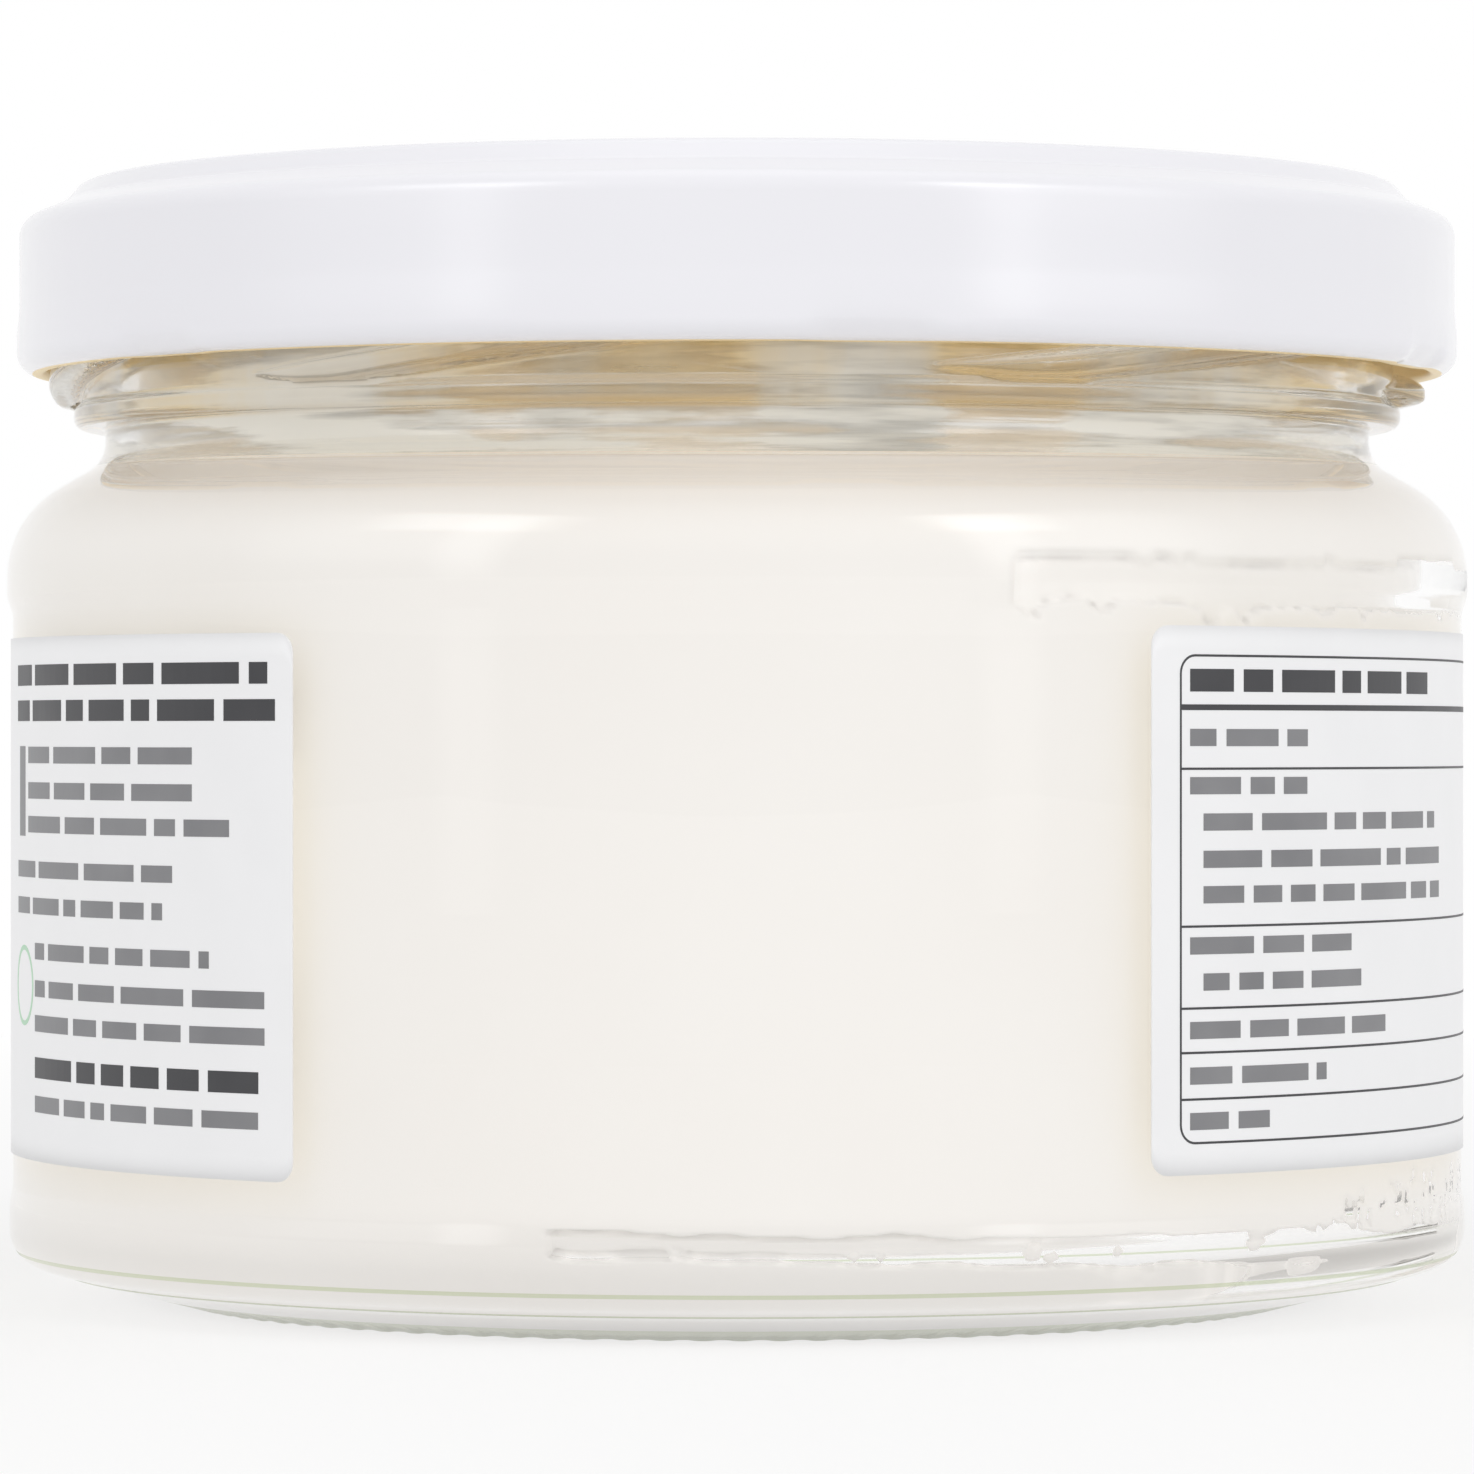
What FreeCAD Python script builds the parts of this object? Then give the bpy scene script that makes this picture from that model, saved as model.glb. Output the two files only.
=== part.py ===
"""Wide, low glass jar of set coconut oil, with a pressed twist-off lid and a wrap-round label.

Millimetres. The jar stands on the XY plane, its axis is Z and the origin is the middle of its base.
The gap between the two ends of the label faces -Y, and angles run from -Y towards +X.
"""

import FreeCAD
import Part

import math
import os

V = FreeCAD.Vector

# Glass body: the panel carries the label, and the heel and shoulder bands stand proud of it
panel_radius = 43.0
panel_bottom = 6.9
body_height = 46.3
wall = 2.3
heel_band_proud = 0.2
heel_band_drop = 1.0
heel_round = 2.2
heel_slope = 14.4
shoulder_band_proud = 0.35
shoulder_band_height = 4.7
shoulder_slope = 30.0
shoulder_round = 6.0
band_step = 1.0
band_blend = 1.5

# Base: a bearing ring round a shallow push-up
bearing_inset = 10.4
bearing_width = 2.0
bearing_edge_radius = 0.5
push_up_height = 1.5
push_up_blend = 2.5
floor_edge_height = 3.4
floor_centre_height = 4.6
floor_round = 4.2

# Neck and finish: the bead, the wall that carries the threads, the bore and the rim
neck_inset = 5.8
neck_rise = 5.3
neck_round = 2.0
bead_reach = 1.85
bead_height = 1.1
finish_reach = 1.45
finish_height = 13.4
finish_wall = 3.4
rim_round = 1.2

# Threads: ramps that climb from a rounded nose, one for each lug of the lid
thread_count = 6
thread_first_angle = 16.0
thread_sweep = 64.0
thread_lead = 28.5
thread_nose_rise = 1.0
thread_width = 1.7
thread_depth = 1.85
thread_nose_sweep = 12.5
thread_tail_sweep = 5.0
thread_root = 0.6
thread_stations = 17

# Lid: tinplate with a sunk centre panel, a raised sealing ring, a ledge and a curled hem
sheet = 0.25
thread_clearance = 0.15
hem_width = 1.75
hem_height = 2.3
hem_proud = 0.15
skirt_flare = 1.6
skirt_flare_round = 6.0
ring_overhang = 0.2
ring_round = 0.8
ledge_step = 0.95
ledge_drop = 1.15
ledge_round = 0.7
corner_drop = 2.25
corner_round = 1.3
centre_panel_step = 0.8
centre_panel_drop = 0.8
centre_panel_round = 0.5

# Lugs: places where the hem is pressed flat and stands in under a thread
lug_first_angle = 10.0
lug_sweep = 8.6
lug_thickness = 0.95
lug_reach_clearance = 0.6
lug_seat_clearance = 0.05
lug_above_hem = 0.15
lug_edge_round = 0.3
lug_flat_tilt = 38.0
lug_flat_depth = 0.5

# Liner: sealing compound cast in the raised ring, which the rim bites into
liner_thickness = 0.75
liner_bite = 0.4
liner_inner_step = 0.4

# Contents and label
headspace = 16.05
label_thickness = 0.1
label_bottom_margin = 2.2
label_top_margin = 1.3
label_gap_angle = 66.3
label_gap_middle = -1.35
label_corner = 1.1

# Radii and heights that follow from the sizes above
heel_radius = panel_radius + heel_band_proud
bearing_radius = heel_radius - bearing_inset
shoulder_radius = panel_radius + shoulder_band_proud
neck_radius = shoulder_radius - neck_inset
bead_radius = neck_radius + bead_reach
finish_radius = neck_radius + finish_reach
bore_radius = finish_radius - finish_wall
thread_radius = finish_radius + thread_depth
panel_top = body_height - shoulder_band_height - band_step
bead_bottom = body_height + neck_rise
rim_height = bead_bottom + finish_height
thread_nose_height = bead_bottom + bead_height + thread_nose_rise
thread_pitch_angle = 360 / thread_count
fill_level = rim_height - headspace

lid_top = rim_height + liner_thickness + sheet
hem_inner_radius = thread_radius + thread_clearance
hem_radius = hem_inner_radius + hem_width
hem_round = hem_width * 0.75
hem_inner_round = hem_width * 0.23
lid_radius = hem_radius - hem_proud
ring_outer_radius = finish_radius
ring_inner_radius = bore_radius - ring_overhang
ledge_radius = ring_outer_radius + ledge_step
centre_panel_radius = ring_inner_radius - centre_panel_step
lug_inner_radius = finish_radius + lug_reach_clearance


def unit(a, b):
    """Direction from point a to point b in the half plane of a section."""
    length = math.hypot(b[0] - a[0], b[1] - a[1])
    return (b[0] - a[0]) / length, (b[1] - a[1]) / length


def corner_arc(before, corner, after, radius):
    """Arc that rounds a corner of a section, as its start, its crest and its end."""
    back = unit(corner, before)
    ahead = unit(corner, after)
    half_angle = math.acos(back[0] * ahead[0] + back[1] * ahead[1]) / 2
    inward = unit((0, 0), (back[0] + ahead[0], back[1] + ahead[1]))
    reach = radius / math.tan(half_angle)
    depth = radius / math.sin(half_angle) - radius
    steps = [(back, reach), (inward, depth), (ahead, reach)]
    return [V(corner[0] + way[0] * length, 0, corner[1] + way[1] * length) for way, length in steps]


def section_wire(corners):
    """Closed wire in the XZ plane through corners (r, z, fillet radius)."""
    edges = []
    stops = []
    for i, (r, z, radius) in enumerate(corners):
        if radius:
            following = corners[(i + 1) % len(corners)]
            start, crest, end = corner_arc(corners[i - 1][:2], (r, z), following[:2], radius)
            edges.append(Part.Arc(start, crest, end).toShape())
            stops.append((start, end))
        else:
            stops.append((V(r, 0, z), V(r, 0, z)))
    for (_, end), (start, _) in zip(stops, stops[1:] + stops[:1]):
        if (start - end).Length > 1e-6:
            edges.append(Part.LineSegment(end, start).toShape())
    return Part.Wire(Part.sortEdges(edges)[0])


def turned(corners, sweep=360.0, start=0.0):
    """Solid made by turning a closed section about Z, from the angle start."""
    face = Part.Face(section_wire(corners))
    face.rotate(V(0, 0, 0), V(0, 0, 1), start - 90)
    return face.revolve(V(0, 0, 0), V(0, 0, 1), sweep)


def ring(inner, outer, bottom, top):
    """Plain square-edged ring about Z."""
    return turned([(inner, bottom, 0), (outer, bottom, 0), (outer, top, 0), (inner, top, 0)])


def moved_right(corners, distance):
    """An open run of corners moved to the right of its direction, with its fillets kept concentric."""
    moved = []
    for i, (r, z, radius) in enumerate(corners):
        before = unit(corners[i - 1], (r, z)) if i else unit((r, z), corners[1])
        after = unit((r, z), corners[i + 1]) if i + 1 < len(corners) else before
        turn = before[0] * after[1] - before[1] * after[0]
        share = distance / (1 + before[0] * after[0] + before[1] * after[1])
        new_radius = max(radius + math.copysign(distance, turn), 0) if radius else 0
        new_r = r + (before[1] + after[1]) * share
        new_z = z - (before[0] + after[0]) * share
        moved.append((new_r, new_z, new_radius))
    return moved


def shoulder_at(radius, inset):
    """Height of the shoulder slope, moved into the glass by inset, at a radius."""
    slope = math.radians(shoulder_slope)
    return body_height + (shoulder_radius - radius) * math.tan(slope) - inset / math.cos(slope)


def glass_outside():
    """Corners of the jar's outer face, from the middle of the push-up to the outside of the rim."""
    bearing_inner = bearing_radius - bearing_width
    heel_corner = bearing_inset * math.tan(math.radians(heel_slope))
    bead_top = bead_bottom + bead_height
    groove = bead_reach - finish_reach
    return [
        (0, push_up_height, 0),
        (bearing_inner - push_up_blend, push_up_height, push_up_blend),
        (bearing_inner, 0, bearing_edge_radius),
        (bearing_radius, 0, bearing_edge_radius),
        (heel_radius, heel_corner, heel_round),
        (heel_radius, panel_bottom - heel_band_drop, band_blend),
        (panel_radius, panel_bottom, band_blend),
        (panel_radius, panel_top, band_blend),
        (shoulder_radius, panel_top + band_step, band_blend),
        (shoulder_radius, body_height, shoulder_round),
        (neck_radius, shoulder_at(neck_radius, 0), neck_round),
        (neck_radius, bead_bottom, bead_height * 0.25),
        (bead_radius, bead_bottom, bead_height * 0.55),
        (bead_radius, bead_top, bead_height * 0.3),
        (finish_radius, bead_top + groove, groove * 0.6),
        (finish_radius, rim_height, rim_round),
    ]


def glass_inside():
    """Corners of the jar's inner face, from the inside of the rim to the middle of the floor."""
    inner_radius = panel_radius - wall
    return [
        (bore_radius, rim_height, rim_round),
        (bore_radius, shoulder_at(bore_radius, wall), neck_round + wall),
        (inner_radius, shoulder_at(inner_radius, wall), shoulder_round - wall),
        (inner_radius, floor_edge_height, floor_round),
        (0, floor_centre_height, 0),
    ]


def thread_swell(along):
    """Share of its full size that a thread has at an angle along it, from its nose."""
    nose = math.sin(math.radians(90 * min(1, along / thread_nose_sweep)))
    tail = math.sin(math.radians(90 * min(1, (thread_sweep - along) / thread_tail_sweep)))
    return max(nose * tail, 0.08)


def thread_top(along):
    """Height of a thread's upper edge, which climbs steadily."""
    return thread_nose_height + thread_lead * along / 360


def thread_underside(along):
    """Height of a thread's lower edge, which a lug pulls up against."""
    return thread_top(along) - thread_width * thread_swell(along)


def thread_section(angle, along):
    """Blunt ridge across a thread, rooted in the finish wall."""
    swell = thread_swell(along)
    top = thread_top(along)
    low = thread_underside(along)
    flank = (top - low) * 0.1
    nose = (top - low) * 0.3
    root = finish_radius - thread_root
    crest = finish_radius + thread_depth * swell
    brow = crest - thread_depth * swell * 0.4
    outline = [
        (root, low), (brow, low + flank), (crest, low + nose),
        (crest, top - nose), (brow, top - flank), (root, top),
    ]
    around = math.radians(angle + along - 90)
    points = [V(r * math.cos(around), r * math.sin(around), z) for r, z in outline]
    return Part.makePolygon(points + points[:1])


def glass_thread(angle):
    """One thread, swelling from its nose and fading at its tail."""
    steps = [thread_sweep * i / (thread_stations - 1) for i in range(thread_stations)]
    return Part.makeLoft([thread_section(angle, along) for along in steps], True, True)


def glass_jar():
    """The jar: one turned wall and its threads."""
    wall_solid = turned(glass_outside() + glass_inside())
    starts = [thread_first_angle + k * thread_pitch_angle for k in range(thread_count)]
    return wall_solid.fuse([glass_thread(angle) for angle in starts]).removeSplitter()


def coconut_oil():
    """Set oil, from the jar's floor to the fill level."""
    cavity = turned(glass_inside() + [(0, rim_height, 0)])
    return cavity.common(Part.makeCylinder(shoulder_radius, fill_level))


def lug_height():
    """Height of a lug's upper face: just under the thread that it hooks on, at its lower end."""
    lug_along = (lug_first_angle - thread_first_angle) % thread_pitch_angle
    return thread_underside(lug_along - lug_sweep / 2) - lug_seat_clearance


def lid_outside():
    """Corners of the lid's outer face, from the middle of the centre panel round the hem to its cut edge."""
    hem_bottom = lug_height() - lug_thickness - lug_above_hem
    hem_top = hem_bottom + hem_height
    return [
        (0, lid_top - centre_panel_drop, 0),
        (centre_panel_radius, lid_top - centre_panel_drop, centre_panel_round),
        (ring_inner_radius, lid_top, centre_panel_round),
        (ring_outer_radius, lid_top, ring_round),
        (ledge_radius, lid_top - ledge_drop, ledge_round),
        (lid_radius, lid_top - corner_drop, corner_round),
        (lid_radius, hem_top + skirt_flare, skirt_flare_round),
        (hem_radius, hem_top, 0),
        (hem_radius, hem_bottom, hem_round),
        (hem_inner_radius, hem_bottom, hem_inner_round),
        (hem_inner_radius, hem_top, hem_inner_round),
        (hem_radius - 2 * sheet, hem_top, 0),
    ]


def lid_lug(angle):
    """A lug: the hem filled and drawn in under a thread."""
    top = lug_height()
    bottom = top - lug_thickness
    start = angle - lug_sweep / 2
    tongue = turned([
        (lug_inner_radius, bottom, lug_edge_round),
        (hem_inner_radius + 2 * sheet, bottom, 0),
        (hem_inner_radius + 2 * sheet, top, 0),
        (lug_inner_radius, top, lug_edge_round),
    ], lug_sweep, start)
    middle = sheet / 2
    low = bottom - lug_above_hem + middle
    filling = turned([
        (hem_radius - middle, top, 0),
        (hem_radius - middle, low, hem_round - middle),
        (hem_inner_radius + middle, low, 0),
        (hem_inner_radius + middle, top, 0),
    ], lug_sweep, start)
    return tongue.fuse(filling)


def lug_flat(angle):
    """Block that takes a flat off the lower outer edge of the hem, behind a lug."""
    hem_bottom = lug_height() - lug_thickness - lug_above_hem
    tilt = math.radians(lug_flat_tilt)
    reach = hem_round - lug_flat_depth
    flat_r = hem_radius - hem_round + reach * math.cos(tilt)
    flat_z = hem_bottom + hem_round - reach * math.sin(tilt)
    block = Part.makeBox(hem_height, 6 * hem_height, 2 * hem_height, V(0, -3 * hem_height, -hem_height))
    block.rotate(V(0, 0, 0), V(0, 1, 0), lug_flat_tilt)
    block.translate(V(flat_r, 0, flat_z))
    block.rotate(V(0, 0, 0), V(0, 0, 1), angle - 90)
    return block


def twist_off_lid():
    """The lid: one pressed sheet with its lugs, and the flats behind them."""
    outside = lid_outside()
    shell = turned(outside + moved_right(outside, sheet)[::-1])
    angles = [lug_first_angle + k * thread_pitch_angle for k in range(thread_count)]
    lid = shell.fuse([lid_lug(angle) for angle in angles])
    return lid.cut([lug_flat(angle) for angle in angles]).removeSplitter()


def lid_liner():
    """Compound that fills the raised ring from below, with the rim sunk into it."""
    under_lid = moved_right(lid_outside()[:6], sheet)
    deep = rim_height - 2 * corner_drop
    space = turned(under_lid + [(under_lid[-1][0], deep, 0), (0, deep, 0)])
    band = ring(bore_radius - liner_inner_step, finish_radius, rim_height - liner_bite, lid_top)
    rim = turned(glass_outside() + glass_inside())
    return space.common(band).cut(rim)


def corner_cutter(angle, side, height, up):
    """Tool that rounds one corner of the label; side and up are the signs of the ways out of it."""
    depth = wall
    block = Part.makeBox(depth, 2 * label_corner, 2 * label_corner)
    block.translate(V(-depth / 2, 0 if side > 0 else -2 * label_corner, 0 if up > 0 else -2 * label_corner))
    disc = Part.makeCylinder(label_corner, depth, V(-depth / 2, 0, 0), V(1, 0, 0))
    cutter = block.cut(disc)
    inset = math.degrees(label_corner / panel_radius)
    cutter.translate(V(panel_radius, 0, height - up * label_corner))
    cutter.rotate(V(0, 0, 0), V(0, 0, 1), angle - side * inset - 90)
    return cutter


def wrap_label():
    """The label: a thin band round the panel, open at the front, with rounded corners."""
    bottom = panel_bottom + label_bottom_margin
    top = panel_top - label_top_margin
    start = label_gap_middle + label_gap_angle / 2
    sweep = 360 - label_gap_angle
    outer = panel_radius + label_thickness
    section = [(panel_radius, bottom, 0), (outer, bottom, 0), (outer, top, 0), (panel_radius, top, 0)]
    band = turned(section, sweep, start)
    cutters = []
    for angle, side in ((start, -1), (start + sweep, 1)):
        cutters.append(corner_cutter(angle, side, top, 1))
        cutters.append(corner_cutter(angle, side, bottom, -1))
    return band.cut(cutters)


def main():
    os.makedirs("parts", exist_ok=True)
    nodes = {
        "jar_glass": glass_jar(),
        "coconut_oil": coconut_oil(),
        "lid": twist_off_lid(),
        "lid_liner": lid_liner(),
        "label": wrap_label(),
    }
    for name, shape in nodes.items():
        box = shape.optimalBoundingBox()
        size = f"{box.XLength:.2f} x {box.YLength:.2f} x {box.ZLength:.2f}"
        print(f"{name}: solids {len(shape.Solids)}, valid {shape.isValid()}, "
              f"volume {shape.Volume:.1f}, size {size}, z {box.ZMin:.2f} to {box.ZMax:.2f}")
        shape.exportStep(f"parts/{name}.step")


main()
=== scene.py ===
import bpy
import bmesh
import math
import random
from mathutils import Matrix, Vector, noise


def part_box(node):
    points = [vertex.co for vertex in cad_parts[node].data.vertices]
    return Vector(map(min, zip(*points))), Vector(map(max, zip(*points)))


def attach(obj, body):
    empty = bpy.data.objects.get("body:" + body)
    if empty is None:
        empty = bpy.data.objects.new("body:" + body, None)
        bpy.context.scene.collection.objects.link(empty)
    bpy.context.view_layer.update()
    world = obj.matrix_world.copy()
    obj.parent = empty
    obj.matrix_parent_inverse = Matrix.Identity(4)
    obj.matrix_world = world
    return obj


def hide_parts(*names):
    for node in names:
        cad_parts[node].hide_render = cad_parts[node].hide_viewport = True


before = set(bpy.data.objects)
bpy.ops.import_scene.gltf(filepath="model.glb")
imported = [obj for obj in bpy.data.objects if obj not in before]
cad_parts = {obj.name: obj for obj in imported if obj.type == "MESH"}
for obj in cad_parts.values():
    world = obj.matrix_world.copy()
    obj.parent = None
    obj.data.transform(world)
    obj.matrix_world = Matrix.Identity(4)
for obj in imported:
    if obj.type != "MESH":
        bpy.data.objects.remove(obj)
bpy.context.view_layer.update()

mm = 0.001
samePoint = 1e-5             # points of a section this near, in mm, are one
onAxis = 1e-6                # in mm
weldReach = 1e-7             # in metres

jarLow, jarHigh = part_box("jar_glass")
_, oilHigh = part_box("coconut_oil")
lidLow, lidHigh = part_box("lid")
labelLow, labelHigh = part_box("label")


cameraView = {
    "distance": 0.4439,      # from the jar's axis
    "eyeHeight": 0.03315,    # level with the middle of the jar
    "lens": 181.8, "sensor": 36.0,
    "frameShift": 0.0027,
    "nearest": 0.01,
}


def addCamera():
    view = cameraView
    data = bpy.data.cameras.new("studioCamera")
    data.lens = view["lens"]
    data.sensor_width = view["sensor"]
    data.shift_y = view["frameShift"]
    data.clip_start = view["nearest"]
    camera = bpy.data.objects.new("studioCamera", data)
    camera.location = (0.0, -view["distance"], view["eyeHeight"])
    camera.rotation_euler = (math.radians(90), 0.0, 0.0)
    bpy.context.scene.collection.objects.link(camera)
    bpy.context.scene.camera = camera


addCamera()
print("camera set")


def addNode(tree, kind, inputs=None, **settings):
    # adds a node and gives its outputs; an input takes a value or another node's output
    count = len(tree.nodes)
    node = tree.nodes.new(kind if kind.startswith(("NodeGroup", "Geometry")) else "ShaderNode" + kind)
    node.location = (240 * (count % 8), -320 * (count // 8))
    for key, value in settings.items():
        setattr(node, key, value)
    for key, value in (inputs or {}).items():
        if isinstance(value, bpy.types.NodeSocket):
            tree.links.new(value, node.inputs[key])
        else:
            node.inputs[key].default_value = value
    return node.outputs


def addMath(tree, operation, *values):
    return addNode(tree, "Math", dict(enumerate(values)), operation=operation)["Value"]


def addRange(tree, value, limits, **settings):
    # limits are what comes in, from and to, and what it becomes, 0 to 1 where not given
    names = ("From Min", "From Max", "To Min", "To Max")
    return addNode(tree, "MapRange", {"Value": value, **dict(zip(names, limits))}, **settings)["Result"]


def newMaterial(name):
    material = bpy.data.materials.new(name)
    material.use_nodes = True
    material.node_tree.nodes.clear()
    return material, material.node_tree


grainSizes = {
    "fineDetail": 3.0, "driftDetail": 2.0,
    "driftSpread": (0.3, 0.7),                # the drift runs from dark to light between these
}


def makeGrainGroup():
    # fine relief and a slow drift of roughness and tone, for any finish
    s = grainSizes
    group = bpy.data.node_groups.new("surfaceGrain", "ShaderNodeTree")
    sockets = [("Grain Scale", 900.0), ("Drift Scale", 45.0), ("Roughness Low", 0.3), ("Roughness High", 0.4)]
    for name, value in sockets:
        socket = group.interface.new_socket(name=name, in_out="INPUT", socket_type="NodeSocketFloat")
        socket.default_value = value
    for name in ("Light Tone", "Dark Tone"):
        group.interface.new_socket(name=name, in_out="INPUT", socket_type="NodeSocketColor")
    for name, kind in (("Colour", "Color"), ("Roughness", "Float"), ("Height", "Float")):
        group.interface.new_socket(name=name, in_out="OUTPUT", socket_type="NodeSocket" + kind)
    given = addNode(group, "NodeGroupInput")
    place = addNode(group, "TexCoord")["Object"]
    fine = {"Vector": place, "Scale": given["Grain Scale"], "Detail": s["fineDetail"]}
    grain = addNode(group, "TexNoise", fine)["Fac"]
    slow = {"Vector": place, "Scale": given["Drift Scale"], "Detail": s["driftDetail"]}
    soft = addRange(group, addNode(group, "TexNoise", slow)["Fac"], s["driftSpread"])
    rough = addNode(group, "MapRange", {
        "Value": soft, "To Min": given["Roughness Low"], "To Max": given["Roughness High"],
    })["Result"]
    tone = addNode(group, "Mix", data_type="RGBA", inputs={
        "Factor": soft, "A": given["Dark Tone"], "B": given["Light Tone"],
    })["Result"]
    addNode(group, "NodeGroupOutput", {"Colour": tone, "Roughness": rough, "Height": grain})
    return group


grainGroup = makeGrainGroup()


def addGrain(tree, look):
    # what a look gives to a shader's inputs
    grain = addNode(tree, "Group", node_tree=grainGroup, inputs={
        "Grain Scale": look["grainScale"], "Drift Scale": look["driftScale"],
        "Roughness Low": look["roughness"][0], "Roughness High": look["roughness"][1],
        "Light Tone": (*look["light"], 1.0), "Dark Tone": (*look["dark"], 1.0),
    })
    relief = {"Strength": look["relief"], "Distance": look["depth"], "Height": grain["Height"]}
    normal = addNode(tree, "Bump", relief)["Normal"]
    finish = {"Base Color": grain["Colour"], "Roughness": grain["Roughness"], "Normal": normal}
    return {**finish, **look["shader"]}


def makeFinish(name, look):
    material, tree = newMaterial(name)
    shader = addNode(tree, "BsdfPrincipled", addGrain(tree, look))
    addNode(tree, "OutputMaterial", {"Surface": shader["BSDF"]})
    return material


def letThrough(tree, surface, tint, share=None):
    # light for what lies behind passes straight, or a share of it
    rays = addNode(tree, "LightPath")
    passing = addMath(tree, "MAXIMUM", rays["Is Shadow Ray"], rays["Is Diffuse Ray"])
    if share:
        passing = addMath(tree, "MULTIPLY", passing, share)
    clear = addNode(tree, "BsdfTransparent", {"Color": (*tint, 1.0)})["BSDF"]
    mixed = addNode(tree, "MixShader", {"Fac": passing, 1: surface, 2: clear})
    addNode(tree, "OutputMaterial", {"Surface": mixed["Shader"]})


lacquerLook = {
    "light": (0.885, 0.88, 0.92), "dark": (0.865, 0.86, 0.90), "roughness": (0.2, 0.26),
    "grainScale": 700.0, "driftScale": 30.0, "relief": 0.25, "depth": 0.00002,
    "shader": {"Coat Weight": 0.4, "Coat Roughness": 0.12},
}

goldLook = {
    "light": (0.96, 0.80, 0.50), "dark": (0.93, 0.74, 0.42), "roughness": (0.35, 0.5),
    "grainScale": 1500.0, "driftScale": 80.0, "relief": 0.3, "depth": 0.00002,
    "shader": {"Metallic": 0.3},
}

compoundLook = {
    "light": (0.80, 0.78, 0.72), "dark": (0.72, 0.70, 0.63), "roughness": (0.5, 0.6),
    "grainScale": 1800.0, "driftScale": 120.0, "relief": 0.3, "depth": 0.00003,
    "shader": {},
}

oilLook = {
    "light": (0.972, 0.945, 0.908), "dark": (0.958, 0.926, 0.885), "roughness": (0.45, 0.6),
    "grainScale": 260.0, "driftScale": 55.0, "relief": 0.2, "depth": 0.00005,
    "shader": {"Specular IOR Level": 0.25},
}

oilTopPaintedGlowLook = {               # painted glow: emission standing in for light soaked in through the sides, which lifts the shaded top
    **oilLook,
    "shader": {**oilLook["shader"], "Emission Color": (1.0, 0.95, 0.86, 1.0), "Emission Strength": 0.2},
}

inkLook = {
    "roughness": (0.4, 0.5), "grainScale": 2600.0, "driftScale": 200.0, "relief": 0.25, "depth": 0.00001,
    "shader": {},
}

paperLook = {
    **inkLook, "light": (0.93, 0.93, 0.94), "dark": (0.91, 0.91, 0.92), "roughness": (0.42, 0.5),
    "shader": {"Coat Weight": 0.15, "Coat Roughness": 0.3},
    "through": 0.94, "passed": (1.0, 0.975, 0.91),           # share and colour of the light it lets through
}

glassLook = {
    "tint": (0.99, 0.988, 0.985), "ior": 1.5,
    # the foot's tint is partly the green of thick glass and partly painted shade along the foot and the mould
    # lines
    "footTintAndPaintedShade": (0.60, 0.69, 0.44), "footRoughness": 0.22,
    "waveScale": 60.0, "waveDetail": 1.0, "waveDepth": 0.00003, "waveRelief": 0.18,
}

filmAndPaintedLightLook = {                 # the thin cloudy film of oil inside the neck, and painted light on it: the gold lining seen through the glass and glints of the wavy glass
    "clouds": [((1.0, 1.0, 0.3), 75.0), ((0.25, 0.25, 2.5), 225.0)],     # upright patches, level streaks
    "cloudDetail": 4.0,
    "cover": (0.95, 1.05, 0.4, 0.97),
    # the warm colour is a painted reflection of the lid's gold lining, put on the film
    "pale": (0.94, 0.935, 0.875), "paintedGoldLining": (0.96, 0.79, 0.46),
    "paintedGoldHeights": (0.0515, 0.0535),         # painted reflection of the gold lining, between these heights under the lid's lacquer
    "paintedGoldPatches": (0.45, 0.6, 1.0, 0.0),
    # the streaks shape the smear and also scale its brightness, painting glints of the wavy glass
    "streaksAndPaintedGlints": (0.44, 0.56, 0.66, 1.0),
}


def addFilmAndPaintedLight(tree, place, glass):
    look = filmAndPaintedLightLook
    clouds = []
    for stretch, scale in look["clouds"]:
        stretched = addNode(tree, "Mapping", {"Vector": place, "Scale": stretch})["Vector"]
        cloud = {"Vector": stretched, "Scale": scale, "Detail": look["cloudDetail"]}
        clouds.append(addNode(tree, "TexNoise", cloud)["Fac"])
    patches, streaksAndPaintedGlints = clouds
    cover = addRange(tree, addMath(tree, "ADD", patches, streaksAndPaintedGlints), look["cover"])
    # painted reflection: the lid's gold lining is painted onto the film in patches high in the neck
    rise = addRange(tree, addNode(tree, "SeparateXYZ", {"Vector": place})["Z"], look["paintedGoldHeights"])
    paintedGoldLining = addMath(tree, "MULTIPLY", rise, addRange(tree, patches, look["paintedGoldPatches"]))
    colour = addNode(tree, "Mix", data_type="RGBA", inputs={
        "Factor": paintedGoldLining, "A": (*look["pale"], 1.0), "B": (*look["paintedGoldLining"], 1.0),
    })["Result"]
    # painted glints: the streaks brighten and darken the film in level bands
    shade = {0: colour, "Scale": addRange(tree, streaksAndPaintedGlints, look["streaksAndPaintedGlints"])}
    shaded = addNode(tree, "VectorMath", shade, operation="SCALE")["Vector"]
    filmAndPaintedLight = addNode(tree, "BsdfDiffuse", {"Color": shaded})["BSDF"]
    return addNode(tree, "MixShader", {"Fac": cover, 1: glass, 2: filmAndPaintedLight})["Shader"]


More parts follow.
